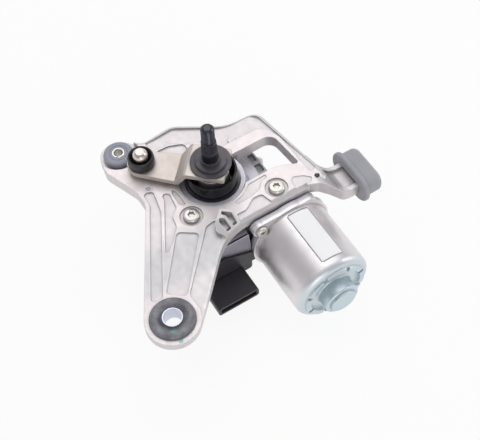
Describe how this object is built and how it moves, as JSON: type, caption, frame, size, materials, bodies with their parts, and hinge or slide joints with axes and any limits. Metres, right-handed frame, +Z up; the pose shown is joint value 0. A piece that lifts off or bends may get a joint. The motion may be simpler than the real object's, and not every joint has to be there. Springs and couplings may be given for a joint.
{
  "type": "windscreen wiper motor",
  "caption": "Windscreen wiper motor: die-cast bracket with rubber-mounted eyes, worm gearbox, wiper spindle with crank arm and ball stud, round motor can and plug socket.",
  "frame": {"origin": "on the wiper spindle's axis at the seat of the wiper arm", "axes": "+Z up along the spindle towards its threaded tip, +X along the motor can towards its closed end, +Y towards the bracket's tongue"},
  "size_m": [0.19, 0.2048, 0.131],
  "materials": {
    "cast_aluminium": "bead-blasted die casting",
    "housing_aluminium": "as-cast die casting",
    "bright_aluminium": "turned bright",
    "zinc_steel": "zinc plated",
    "zinc_plate": "warm zinc plating, satin",
    "phosphated_steel": "dark phosphated and oiled",
    "ball_steel": "polished ball",
    "bearing_steel": "ground and polished",
    "lamination_steel": "stacked laminations",
    "can_steel": "zinc plated, deep drawn",
    "sintered_bronze": "porous, oil filled",
    "copper_wire": "enamelled winding wire",
    "copper_bars": "turned copper bars",
    "tinned_brass": "tin plated",
    "dark_rubber": "matt moulded rubber",
    "grey_rubber": "blue-grey moulded rubber",
    "cap_rubber": "mid-grey moulded rubber",
    "gloss_black": "glossy moulded black",
    "black_plastic": "satin black, glass filled",
    "natural_plastic": "natural phenolic",
    "gear_plastic": "natural acetal",
    "board_green": "solder mask",
    "ferrite": "sintered ferrite",
    "carbon": "pressed carbon"
  },
  "bodies": {
    "base": {"mounting_bracket": "cast_aluminium", "bracket_screws": "zinc_steel", "large_grommet": "dark_rubber", "large_sleeve": "bright_aluminium", "small_grommet": "grey_rubber", "split_sleeve": "zinc_steel", "tongue_cap": "cap_rubber", "gear_housing": "housing_aluminium", "guard_ring": "gloss_black", "upper_bush": "sintered_bronze", "lower_bush": "sintered_bronze", "shaft_seal": "dark_rubber", "lower_washer": "zinc_steel", "bearing_outer_race": "bearing_steel", "bearing_balls": "bearing_steel", "rear_bush": "sintered_bronze", "motor_can": "can_steel", "can_screws": "zinc_steel", "field_magnets": "ferrite", "magnet_clips": "zinc_steel", "brush_plate": "natural_plastic", "brushes": "carbon", "brush_springs": "zinc_steel", "bottom_cover": "black_plastic", "cover_seal": "dark_rubber", "cover_screws": "zinc_steel", "circuit_board": "board_green", "connector_terminals": "tinned_brass"},
    "spindle": {"spindle_shaft": "phosphated_steel", "spindle_collar": "phosphated_steel", "retaining_ring": "phosphated_steel", "upper_washer": "zinc_steel", "crank_arm": "zinc_plate", "ball_stud": "ball_steel", "ball_seal_ring": "dark_rubber", "worm_wheel": "gear_plastic", "wheel_hub": "zinc_steel", "sensor_magnet": "ferrite"},
    "rotor": {"armature_shaft": "zinc_steel", "armature_core": "lamination_steel", "windings": "copper_wire", "commutator": "copper_bars", "bearing_inner_race": "bearing_steel"}
  },
  "joints": [
    {"name": "spindle_turn", "type": "hinge", "parent": "base", "child": "spindle", "pos_m": [0, 0, 0], "axis": [0, 0, 1], "range_deg": [-100, 0]},
    {"name": "rotor_turn", "type": "hinge", "parent": "base", "child": "rotor", "pos_m": [0, 0.0355, -0.0645], "axis": [1, 0, 0], "range_deg": [-5000, 0]}
  ],
  "couplings": [
    {"joint": "rotor_turn", "follows": "spindle_turn", "ratio": 50}
  ]
}
